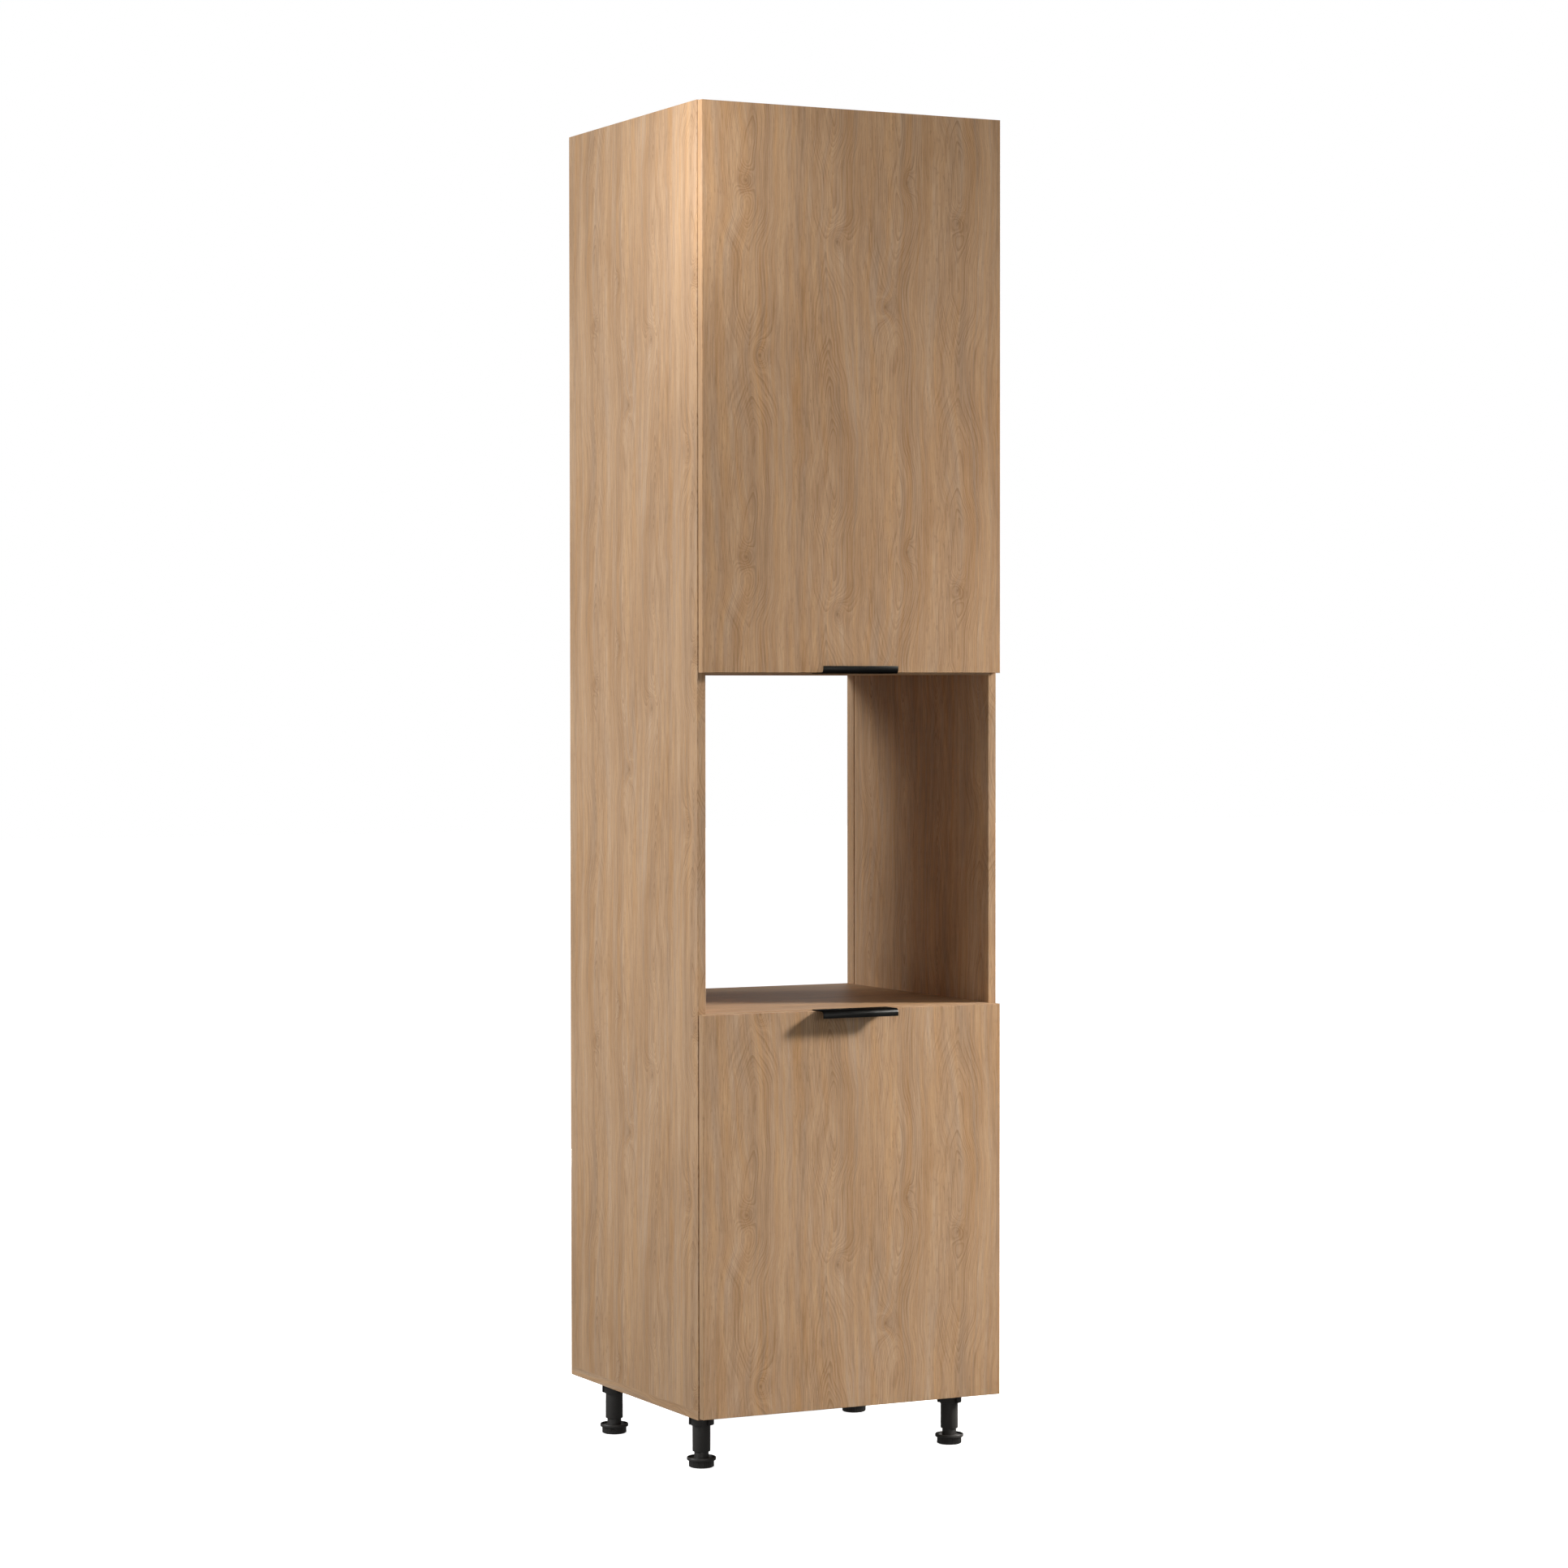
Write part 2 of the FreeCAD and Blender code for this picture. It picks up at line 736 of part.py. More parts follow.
def leg_collar(x, y):
    low = bottom_z - collar_height
    body = rod((x, y, low), (0, 0, 1), collar_height, collar_radius, leg_sides)
    socket_radius = tube_radius / math.cos(math.pi / leg_sides) + fit_clearance
    socket = rod((x, y, low), (0, 0, 1), collar_height - collar_plate, socket_radius, bore_sides)
    inner = tube_radius + tube_wall / 2
    outer = collar_radius + tube_wall
    half = collar_slot / 2
    slots = []
    for dx, dy in ((1, 0), (-1, 0), (0, 1), (0, -1)):
        slot_x = sorted((x + dx * inner - abs(dy) * half, x + dx * outer + abs(dy) * half))
        slot_y = sorted((y + dy * inner - abs(dx) * half, y + dy * outer + abs(dx) * half))
        slots.append(box(slot_x, slot_y, (low, bottom_z)))
    return body.fuse(spigot(x, y)).cut([socket] + slots)


def tube_low():
    return foot_ring_height + foot_flange_height + foot_thread_gap


def leg_tube(x, y):
    high = bottom_z - tube_top_gap
    start = (x, y, tube_low())
    outer = rod(start, (0, 0, 1), high - tube_low(), tube_radius, leg_sides)
    bore = rod(start, (0, 0, 1), high - tube_low(), tube_radius - tube_wall, bore_sides)
    return outer.cut(bore)


def foot(x, y):
    """Screw foot: fluted ring on the floor, round flange and the stem inside the tube."""
    points = []
    for i in range(2 * foot_flutes):
        angle = math.pi * i / foot_flutes
        radius = foot_ring_radius - (foot_flute_depth if i % 2 else 0)
        points.append((x + radius * math.cos(angle), y + radius * math.sin(angle)))
    ring = prism(points, (foot_chamfer, foot_ring_height))
    sole = rod((x, y, 0), (0, 0, 1), foot_chamfer, foot_ring_radius - foot_chamfer, leg_sides)
    flange = rod((x, y, foot_ring_height), (0, 0, 1), foot_flange_height, foot_flange_radius, leg_sides)
    rims = [edge for edge in flange.Edges if edge.BoundBox.ZLength < edge_radius]
    flange = flange.makeChamfer(foot_chamfer, rims)
    stem_radius = (tube_radius - tube_wall - foot_stem_clearance) * math.cos(math.pi / leg_sides)
    stem = rod((x, y, foot_ring_height), (0, 0, 1), foot_stem_top - foot_ring_height, stem_radius, leg_sides)
    return ring.multiFuse([sole, flange, stem]).removeSplitter()


def export_carcass():
    export("left_side_panel", side_panel(-1))
    export("right_side_panel", side_panel(1))
    export("bottom_panel", bottom_panel())
    for name in joined_panels():
        export(name, joined_panel(name))
    export("lower_back_panel", back_panel((lower_bay_z, niche_floor_z)))
    export("upper_back_panel", back_panel((upper_bay_z, top_z)))
    lower_levels, upper_levels = shelf_levels()
    for i, z in enumerate(lower_levels):
        export(f"lower_shelf_{i + 1}", shelf(z))
    for i, z in enumerate(upper_levels):
        export(f"upper_shelf_{i + 1}", shelf(z))
    export("shelf_pins", *[shelf_pin(*place) for place in shelf_pin_places(lower_levels + upper_levels)])
    export("cam_housings", *[cam_housing(*place) for place in cam_places()])
    export("cam_bolts", *[cam_bolt(side, y, z) for side, y, z, _ in cam_places()])
    export("dowels", *[dowel(*place) for place in dowel_places()])
    export("bottom_screws", *[confirmat(*place) for place in confirmat_places()])
    export("wall_brackets", *[wall_bracket(x) for x in bracket_places()])
    export("wall_bracket_screws", *wall_bracket_screws())


def export_door(name, z, hinge_count, handle_edge, handle_side):
    levels = hinge_levels(z, hinge_count)
    export(f"{name}_door", door(z, levels, handle_edge, handle_side))
    export(f"{name}_handle", handle(handle_edge, handle_side))
    export(f"{name}_handle_screws", *handle_screws(handle_edge, handle_side))
    export(f"{name}_door_bumpers", *bumpers(z))
    for label, make in (("cups", cup), ("outer_links", outer_link), ("inner_links", inner_link),
                        ("arms", hinge_arm), ("plates", hinge_plate)):
        export(f"{name}_hinge_{label}", *[make(level) for level in levels])
    export(f"{name}_hinge_plate_screws", *[solid for level in levels for solid in plate_screws(level)])


def export_legs():
    for name, place in leg_places().items():
        export(f"{name}_leg_collar", leg_collar(*place))
        export(f"{name}_leg_tube", leg_tube(*place))
        export(f"{name}_foot", foot(*place))


os.makedirs("parts", exist_ok=True)
export_carcass()
export_door("lower", lower_door_z, lower_hinge_count, lower_door_z[1], 1)
export_door("upper", upper_door_z, upper_hinge_count, upper_door_z[0], -1)
export_legs()
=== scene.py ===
import bmesh
import bpy
import json
import math
from mathutils import Matrix, Vector


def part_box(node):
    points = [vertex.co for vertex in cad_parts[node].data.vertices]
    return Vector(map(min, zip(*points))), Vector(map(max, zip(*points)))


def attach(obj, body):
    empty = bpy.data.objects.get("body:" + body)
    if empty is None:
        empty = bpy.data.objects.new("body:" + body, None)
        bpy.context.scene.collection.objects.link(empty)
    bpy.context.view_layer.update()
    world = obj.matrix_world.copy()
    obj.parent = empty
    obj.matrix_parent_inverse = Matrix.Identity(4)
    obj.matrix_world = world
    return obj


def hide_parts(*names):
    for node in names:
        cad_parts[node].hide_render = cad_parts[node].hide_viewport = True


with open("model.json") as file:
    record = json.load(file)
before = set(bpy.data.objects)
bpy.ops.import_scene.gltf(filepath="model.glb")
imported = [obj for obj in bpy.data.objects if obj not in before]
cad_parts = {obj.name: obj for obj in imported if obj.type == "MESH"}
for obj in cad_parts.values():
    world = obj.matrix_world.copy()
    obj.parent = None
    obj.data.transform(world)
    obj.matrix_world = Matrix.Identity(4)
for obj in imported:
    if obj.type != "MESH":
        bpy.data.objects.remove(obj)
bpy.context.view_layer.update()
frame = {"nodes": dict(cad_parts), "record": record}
nodes = frame["nodes"]
slots = {entry["node"]: entry["material_slot"] for entry in frame["record"]["subparts"]}
scene = bpy.context.scene


# Shader helpers

class Shader:
    """A material's node tree with short calls for the nodes that the finishes use."""

    # Places of the colour sockets on a mix node
    first_colour = 6
    second_colour = 7
    mixed_colour = 2

    def __init__(self, name):
        self.material = bpy.data.materials.new(name)
        self.material.use_nodes = True
        self.tree = self.material.node_tree
        self.surface = self.tree.nodes["Principled BSDF"]

    def feed(self, socket, value):
        if isinstance(value, bpy.types.NodeSocket):
            self.tree.links.new(value, socket)
        else:
            socket.default_value = value

    def math(self, operation, a, b=0.0, c=0.0):
        node = self.tree.nodes.new("ShaderNodeMath")
        node.operation = operation
        for socket, value in zip(node.inputs, (a, b, c)):
            self.feed(socket, value)
        return node.outputs[0]

    def add(self, a, b):
        return self.math("ADD", a, b)

    def times(self, a, b):
        return self.math("MULTIPLY", a, b)

    def parts_of(self, vector):
        split = self.tree.nodes.new("ShaderNodeSeparateXYZ")
        self.tree.links.new(vector, split.inputs[0])
        return split.outputs[0], split.outputs[1], split.outputs[2]

    def coords(self):
        return self.parts_of(self.tree.nodes.new("ShaderNodeTexCoord").outputs["Object"])

    def facing(self):
        return self.parts_of(self.tree.nodes.new("ShaderNodeNewGeometry").outputs["Normal"])

    def join(self, x, y, z):
        node = self.tree.nodes.new("ShaderNodeCombineXYZ")
        for socket, value in zip(node.inputs, (x, y, z)):
            self.feed(socket, value)
        return node.outputs[0]

    def noise(self, vector, scale=1.0, detail=2.0, roughness=0.5):
        node = self.tree.nodes.new("ShaderNodeTexNoise")
        self.feed(node.inputs["Vector"], vector)
        node.inputs["Scale"].default_value = scale
        node.inputs["Detail"].default_value = detail
        node.inputs["Roughness"].default_value = roughness
        return node.outputs[0]

    def spread(self, value, low, high, out_low=0.0, out_high=1.0, smooth=False):
        node = self.tree.nodes.new("ShaderNodeMapRange")
        node.interpolation_type = "SMOOTHSTEP" if smooth else "LINEAR"
        for socket, entry in zip(node.inputs, (value, low, high, out_low, out_high)):
            self.feed(socket, entry)
        return node.outputs[0]

    def ramp(self, value, stops):
        node = self.tree.nodes.new("ShaderNodeValToRGB")
        elements = node.color_ramp.elements
        while len(elements) < len(stops):
            elements.new(0.5)
        for element, (position, colour) in zip(elements, stops):
            element.position = position
            element.color = (*colour, 1)
        self.feed(node.inputs[0], value)
        return node.outputs[0]

    def mix(self, factor, a, b, blend="MIX"):
        """Mixes a colour socket with another, or with a fixed colour."""
        node = self.tree.nodes.new("ShaderNodeMix")
        node.data_type = "RGBA"
        node.blend_type = blend
        self.feed(node.inputs[0], factor)
        self.feed(node.inputs[self.first_colour], a)
        self.feed(node.inputs[self.second_colour], b if isinstance(b, bpy.types.NodeSocket) else (*b, 1))
        return node.outputs[self.mixed_colour]

    def bump(self, height, strength, distance):
        node = self.tree.nodes.new("ShaderNodeBump")
        node.inputs["Strength"].default_value = strength
        node.inputs["Distance"].default_value = distance
        self.feed(node.inputs["Height"], height)
        self.tree.links.new(node.outputs[0], self.surface.inputs["Normal"])

    def finish(self, colour, roughness, **fixed):
        self.feed(self.surface.inputs["Base Color"], colour)
        self.feed(self.surface.inputs["Roughness"], roughness)
        for name, value in fixed.items():
            self.surface.inputs[name.replace("_", " ")].default_value = value
        return self.material


def shade(colour, factor):
    return tuple(channel * factor for channel in colour)


# Oak decor: a print that repeats along the grain, with lengths in metres

grain_repeat = 0.658
sheet_width = 0.60

# Columns of arched growth rings, side by side on the sheet
column_middles = (-0.205, -0.045, 0.085, 0.215)
column_reach = 0.060
column_wander = 0.022
column_sway = 0.008
arch_rise = 0.048
arch_round = 0.004
rings_per_metre = 210.0
ring_unrest = 0.0014

# Knots, as places across and along the grain
knots = (
    (-0.213, 0.000),
    (-0.034, -0.098),
    (0.107, 0.013),
    (0.211, -0.054),
    (0.063, -0.210),
    (-0.187, -0.304),
)
knot_wide = 0.014
knot_tall = 0.022
knot_rise = 0.032
knot_unrest = 0.0050
heart_focus = 40.0

# How fast each figure changes across and along the grain, per metre, or per column for the rise
figure_rates = {
    "wander": (5.0, 4.0),
    "sway": (17.0, 9.0),
    "rise": (7.3, 3.6),
    "shiver": (60.0, 22.0),
    "fibre": (190.0, 5.0),
    "hair": (620.0, 16.0),
    "pores": (640.0, 66.0),
    "streak": (64.0, 1.2),
    "cloud": (20.0, 2.4),
    "hue": (90.0, 3.0),
}
ring_weight_rates = (3.7, 16.0, 1.5)
fibre_drift = 24.0
column_drift = 9.1
ring_lean = 0.35

# Share of each figure in the tone, and the colours
tone_shares = {"hair": 0.40, "fibre": 0.30, "streak": 0.22, "cloud": 0.34, "late": -0.130, "halo": -0.065}
tone_low = 0.475
tone_high = 0.765
oak_dark = (0.342, 0.205, 0.114)
oak_middle = (0.463, 0.296, 0.178)
oak_light = (0.571, 0.385, 0.245)
oak_yellow = (1.070, 0.985, 0.810)
oak_grey = (0.938, 1.0, 1.090)
pore_colour = (0.245, 0.140, 0.072)
pore_depth = 0.34
heart_colour = (0.205, 0.113, 0.060)
heart_depth = 0.50


class OakPrint(Shader):
    """Oak decor. pick gives the place across and along the grain from the position and the facing."""

    def __init__(self, name, pick, across_shift, along_shift):
        super().__init__(name)
        across, along = pick(self)
        self.across = self.add(across, across_shift)
        self.along = self.add(along, along_shift)
        turn = self.times(self.along, 2 * math.pi / grain_repeat)
        self.turn_cos = self.math("COSINE", turn)
        self.turn_sin = self.math("SINE", turn)

    def printed(self, figure, side, drift=0.0, **settings):
        """Noise stretched along the grain that meets itself at the repeat. drift parts mirrored sides."""
        side_rate, along_rate = figure_rates[figure]
        radius = along_rate * grain_repeat / (2 * math.pi)
        place = self.join(
            self.times(side, side_rate),
            self.math("MULTIPLY_ADD", self.turn_cos, radius, drift),
            self.times(self.turn_sin, radius),
        )
        return self.noise(place, **settings)

    def columns(self):
        """The number of the column of arches at a place, and the distance from that column's middle."""
        wander = self.printed("wander", self.across, detail=2)
        sway = self.printed("sway", self.across, detail=2)
        place = self.add(self.across, self.spread(wander, 0, 1, -column_wander, column_wander))
        place = self.add(place, self.spread(sway, 0, 1, -column_sway, column_sway))
        place = self.math("WRAP", place, sheet_width / 2, -sheet_width / 2)
        column = 0.0
        column_middle = column_middles[0]
        for left, right in zip(column_middles, column_middles[1:]):
            passed = self.math("GREATER_THAN", place, (left + right) / 2)
            column = self.add(passed, column)
            column_middle = self.add(self.times(passed, right - left), column_middle)
        return column, self.math("SUBTRACT", place, column_middle)

    def knotted(self):
        """The dark hearts of the knots, and the halos round them."""
        half = grain_repeat / 2
        heart = 0.0
        halo = 0.0
        for knot_across, knot_along in knots:
            side = self.math("DIVIDE", self.math("SUBTRACT", self.across, knot_across), knot_wide)
            lift = self.math("WRAP", self.math("SUBTRACT", self.along, knot_along), half, -half)
            lift = self.math("DIVIDE", lift, knot_tall)
            square = self.add(self.times(side, side), self.times(lift, lift))
            halo = self.add(self.math("EXPONENT", self.times(square, -1.0)), halo)
            heart = self.add(self.math("EXPONENT", self.times(square, -heart_focus)), heart)
        return heart, halo

    def rings(self, column, offset, near, halo):
        """The way through the growth rings: arches that rise and fall along a column and swell at knots."""
        rise = self.printed("rise", column, detail=1, roughness=0.35)
        rise = self.spread(rise, 0.25, 0.75, -arch_rise, arch_rise)
        ring = self.math("SQRT", self.add(self.times(offset, offset), arch_round ** 2))
        ring = self.add(ring, self.times(rise, near))
        ring = self.add(ring, self.times(halo, knot_rise))
        shiver = self.spread(self.printed("shiver", self.across, detail=3), 0, 1, -1.0, 1.0)
        unrest = self.add(self.times(halo, knot_unrest), ring_unrest)
        return self.add(ring, self.times(shiver, unrest))

    def late_wood(self, ring, offset, near):
        """Dark lines where growth rings end, of uneven weight, seen only in the middle of a column."""
        number_rate, offset_rate, turn_rate = ring_weight_rates
        turns = self.times(ring, rings_per_metre)
        edge = self.spread(self.math("FRACT", turns), 0.25, 1.0, smooth=True)
        weight = self.noise(self.join(
            self.times(self.math("FLOOR", turns), number_rate),
            self.times(offset, offset_rate),
            self.times(self.turn_sin, turn_rate),
        ), detail=2)
        figured = self.spread(near, 0.20, 0.75, smooth=True)
        return self.times(self.times(edge, self.spread(weight, 0.36, 0.62)), figured)


def oak(name, pick, across_shift, along_shift, cast=(1.0, 1.0, 1.0)):
    """Light oak print, with a cast over its colours; on the upper door the cast is painted shade."""
    s = OakPrint(name, pick, across_shift, along_shift)
    column, offset = s.columns()
    near = s.math("EXPONENT", s.times(s.times(offset, offset), -1 / column_reach ** 2))
    heart, halo = s.knotted()
    ring = s.rings(column, offset, near, halo)
    drift = s.math("MULTIPLY_ADD", offset, fibre_drift, s.times(column, column_drift))
    lean = s.math("MULTIPLY_ADD", ring, ring_lean, s.across)
    figures = {
        "hair": s.printed("hair", lean, detail=3, roughness=0.7),
        "fibre": s.printed("fibre", ring, drift, detail=4, roughness=0.78),
        "streak": s.printed("streak", lean, detail=3),
        "cloud": s.printed("cloud", lean, detail=3, roughness=0.6),
        "late": s.late_wood(ring, offset, near),
        "halo": halo,
    }
    tone = 0.0
    for figure, share in tone_shares.items():
        tone = s.add(s.times(figures[figure], share), tone)
    stops = ((0.0, oak_dark), (0.5, oak_middle), (1.0, oak_light))
    colour = s.ramp(s.spread(tone, tone_low, tone_high), stops)

    # The cast tints the hue; on the upper door it is painted shade
    yellow = tuple(a * b for a, b in zip(oak_yellow, cast))
    grey = tuple(a * b for a, b in zip(oak_grey, cast))
    hue = s.printed("hue", lean, detail=4, roughness=0.65)
    tint = s.ramp(s.spread(hue, 0.3, 0.7), ((0.0, yellow), (1.0, grey)))
    pores = s.spread(s.printed("pores", lean, detail=2), 0.57, 0.72, smooth=True)
    colour = s.mix(1.0, colour, tint, "MULTIPLY")
    colour = s.mix(s.times(pores, pore_depth), colour, pore_colour)
    colour = s.mix(s.times(heart, heart_depth), colour, heart_colour)
    fibre = figures["fibre"]
    s.bump(s.math("SUBTRACT", s.times(fibre, 0.4), s.times(pores, 0.6)), strength=0.12, distance=0.0004)
    return s.finish(colour, s.spread(fibre, 0, 1, 0.42, 0.58), Specular_IOR_Level=0.22)


def upright(s):
    """Grain that runs up a board: across is round its corners, along is the height."""
    x, y, z = s.coords()
    return s.add(x, y), z


def lying(s):
    """Grain that runs along a lying board's faces, from side to side or, on its ends, from front to rear."""
    x, y, z = s.coords()
    end = s.math("GREATER_THAN", s.math("ABSOLUTE", s.facing()[0]), 0.5)
    face = s.math("SUBTRACT", 1.0, end)
    along = s.add(s.times(x, face), s.times(y, end))
    across = s.add(s.times(y, face), z)
    return across, along


# Other finishes

def coated_black(name, base, grain_scale, grain_height, rough, **fixed):
    s = Shader(name)
    position = s.join(*s.coords())
    grain = s.noise(position, scale=grain_scale, detail=3, roughness=0.6)
    smudge = s.noise(position, scale=18.0, detail=3)
    colour = s.ramp(s.spread(grain, 0.3, 0.7), ((0.0, shade(base, 0.8)), (1.0, shade(base, 1.25))))
    s.bump(grain, strength=0.25, distance=grain_height)
    return s.finish(colour, s.spread(smudge, 0.3, 0.7, rough - 0.06, rough + 0.06), **fixed)


def plated(name, base, rough):
    s = Shader(name)
    x, y, z = s.coords()
    brushed = s.noise(s.join(x, y, s.times(z, 9.0)), scale=260.0, detail=3)
    dull = s.noise(s.join(x, y, z), scale=40.0, detail=3)
    colour = s.ramp(dull, ((0.25, shade(base, 0.88)), (0.75, base)))
    s.bump(brushed, strength=0.04, distance=0.0001)
    return s.finish(colour, s.spread(brushed, 0.3, 0.7, rough - 0.05, rough + 0.05), Metallic=0.8)


def hardboard(name, base):
    s = Shader(name)
    position = s.join(*s.coords())
    flock = s.noise(position, scale=260.0, detail=4, roughness=0.7)
    cloud = s.noise(position, scale=7.0, detail=3)
    tone = s.add(s.times(flock, 0.6), s.times(cloud, 0.4))
    colour = s.ramp(s.spread(tone, 0.35, 0.65), ((0.0, shade(base, 0.84)), (1.0, base)))
    s.bump(flock, strength=0.1, distance=0.0003)
    return s.finish(colour, s.spread(flock, 0.3, 0.7, 0.55, 0.7))


def soft_pad(name, base):
    s = Shader(name)
    cloud = s.noise(s.join(*s.coords()), scale=300.0, detail=2)
    colour = s.ramp(cloud, ((0.3, shade(base, 0.9)), (0.7, base)))
    return s.finish(colour, s.spread(cloud, 0.3, 0.7, 0.3, 0.45), Specular_IOR_Level=0.5)


# Heights on the doors and sides that the print is centred on, and the print's shift on the other boards
upper_door_print = 2.2723
lower_door_print = 0.4582
side_print = 2.106
side_print_across = 0.33
lying_print_across = -0.10
lying_print_along = 0.12
# Painted shade: a warmer, deeper cast on the upper door stands for the tone of its dimmer light
upper_door_painted_shade_cast = (1.03, 0.995, 0.945)
door_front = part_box("upper_door")[0].y
boards = {
    "upper_door": oak("oak_upper_door", upright, -door_front, -upper_door_print, upper_door_painted_shade_cast),
    "lower_door": oak("oak_lower_door", upright, -door_front, -lower_door_print),
    "side": oak("oak_side", upright, side_print_across, -side_print),
    "lying": oak("oak_lying", lying, lying_print_across, lying_print_along),
}
no_tint = (0, 0, 0, 1)
finishes = {
    "hdf_back": hardboard("hardboard", (0.56, 0.46, 0.33)),
    "beech": hardboard("beech", (0.60, 0.38, 0.19)),
    "black_metal": coated_black("black_metal", (0.027, 0.027, 0.0265), grain_scale=1400.0,
                                grain_height=0.0002, rough=0.38, Metallic=1.0, Specular_Tint=no_tint),
    "black_plastic": coated_black("black_plastic", (0.0465, 0.0440, 0.0415), grain_scale=900.0,
                                  grain_height=0.0003, rough=0.40, Specular_IOR_Level=0.5),
    "nickel": plated("nickel", (0.78, 0.76, 0.72), rough=0.36),
    "zinc": plated("zinc", (0.70, 0.71, 0.72), rough=0.44),
    "clear_bumper": soft_pad("bumper", (0.70, 0.70, 0.68)),
}
lying_boards = ("bottom_panel", "niche_floor_panel", "niche_top_panel", "top_panel",
                "lower_shelf_1", "upper_shelf_1", "upper_shelf_2")
for node, thing in nodes.items():
    if node in boards:
        finish = boards[node]
    elif slots[node] == "oak_decor":
        finish = boards["lying" if node in lying_boards else "side"]
    else:
        finish = finishes[slots[node]]
    thing.data.materials.clear()
    thing.data.materials.append(finish)


# Pieces that stand for CAD nodes

sharp_angle = math.radians(35)


def add_piece(name, mesh, body, node):
    """Makes the object of a finished mesh, which rides on a body and stands for a CAD node."""
    for face in mesh.faces:
        face.smooth = True
    data = bpy.data.meshes.new(name)
    mesh.to_mesh(data)
    mesh.free()
    data.set_sharp_from_angle(angle=sharp_angle)
    data.materials.append(finishes[slots[node]])
    piece = bpy.data.objects.new(name, data)
    scene.collection.objects.link(piece)
    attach(piece, body)
    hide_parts(node)


# Metal pieces with eased edges

weld_distance = 1e-6
flat_angle = math.radians(2)
edge_angle = math.radians(50)
sheet_edge = 0.0003
casting_edge = 0.0004


def eased(node, body, width):
    """The CAD piece again with its outer edges rounded, as pressed and cast metal has."""
    mesh = bmesh.new()
    mesh.from_mesh(nodes[node].data)
    bmesh.ops.remove_doubles(mesh, verts=mesh.verts, dist=weld_distance)
    bmesh.ops.dissolve_limit(mesh, angle_limit=flat_angle, verts=mesh.verts, edges=mesh.edges)
    outer = [edge for edge in mesh.edges
             if edge.is_manifold and edge.is_convex and edge.calc_face_angle() > edge_angle]
    bmesh.ops.bevel(mesh, geom=outer, offset=width, offset_type="OFFSET", segments=2, profile=0.5,
                    affect="EDGES", clamp_overlap=True)
    add_piece(f"eased_{node}", mesh, body, node)


for bay in ("lower", "upper"):
    eased(f"{bay}_handle", f"{bay}_door", sheet_edge)
    eased(f"{bay}_hinge_cups", f"{bay}_door", sheet_edge)
    eased(f"{bay}_hinge_outer_links", f"{bay}_outer_links", sheet_edge)
    eased(f"{bay}_hinge_inner_links", f"{bay}_inner_links", casting_edge)
    eased(f"{bay}_hinge_arms", "carcass", sheet_edge)
    eased(f"{bay}_hinge_plates", "carcass", casting_edge)
eased("wall_brackets", "carcass", sheet_edge)


# Turned pieces of the levelling legs, in metres

foot_flutes = 52
points_per_flute = 4
flute_crest = 0.0225
flute_root = 0.0215
sole_radius = 0.0195
sole_step = 0.0206
sole_step_height = 0.0004
flute_start = 0.0016
flute_end_gap = 0.0006
flange_low = 0.0125
flange_high = 0.0185
flange_radius = 0.0260
flange_edge = 0.0012
flange_rim = 0.0018
dish_depth = 0.0030
dish_slope = 0.0004
stem_radius = 0.0129
stem_edge = 0.0010
tube_bore = 0.01305
tube_radius = 0.0160
tube_edge = 0.0005
tube_steps = 96
collar_bore = 0.01605
collar_radius = 0.0225
collar_edge = 0.0008
slot_floor = 0.0175
slot_half_width = 0.00375
slots_per_collar = 4
slot_steps = 4
wall_steps = 18
corner_share = 0.35


def turned(name, rows, angles, centre, closed, body, node):
    """A piece turned about an upright axis. A row is a height, and one radius or a list of radii."""
    mesh = bmesh.new()
    rings = []
    for height, radius in rows:
        radii = radius if isinstance(radius, list) else [radius] * len(angles)
        rings.append([mesh.verts.new((centre[0] + r * math.cos(a), centre[1] + r * math.sin(a), height))
                      for r, a in zip(radii, angles)])
    count = len(angles)
    for i in range(len(rings) if closed else len(rings) - 1):
        low, high = rings[i], rings[(i + 1) % len(rings)]
        for j in range(count):
            k = (j + 1) % count
            mesh.faces.new((low[j], low[k], high[k], high[j]))
    if not closed:
        mesh.faces.new(list(reversed(rings[0])))
        mesh.faces.new(rings[-1])
    bmesh.ops.recalc_face_normals(mesh, faces=mesh.faces)
    add_piece(name, mesh, body, node)


def rounded(face, rise, edge, radius_at):
    """Rows of a rounded outer corner, from a face to the wall above it, or below it with a rise of -1."""
    share = corner_share * edge
    steps = ((0.0, edge), (share, share), (edge, 0.0))
    return [(face + rise * height, radius_at(inset)) for height, inset in steps]


def middle(node):
    """A node's middle in plan, with its lower and upper height."""
    low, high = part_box(node)
    return ((low.x + high.x) / 2, (low.y + high.y) / 2), low.z, high.z


def even_angles(count):
    return [2 * math.pi * i / count for i in range(count)]


def leg_foot(corner):
    node = f"{corner}_foot"
    centre, low, high = middle(node)
    points = points_per_flute * foot_flutes
    crest_points = points_per_flute // 2
    fluted = [flute_crest if i % points_per_flute < crest_points else flute_root for i in range(points)]
    ring = low + flange_low
    flange = low + flange_high
    dish = flange - dish_depth
    rim = flange_radius - flange_rim

    def wall(inset):
        return flange_radius - inset

    rows = [
        (low, sole_radius),
        (low + sole_step_height, sole_step),
        (low + flute_start, fluted),
        (ring - flute_end_gap, fluted),
        (ring, flute_root),
        *rounded(ring, 1, flange_edge, wall),
        *reversed(rounded(flange, -1, flange_edge, wall)),
        (flange, rim),
        (dish, rim - dish_slope),
        (dish, stem_radius + stem_edge),
        (dish + stem_edge, stem_radius),
        (high - stem_edge, stem_radius),
        (high, stem_radius - stem_edge),
    ]
    turned(f"{corner}_screw_foot", rows, even_angles(points), centre, False, f"{corner}_foot", node)


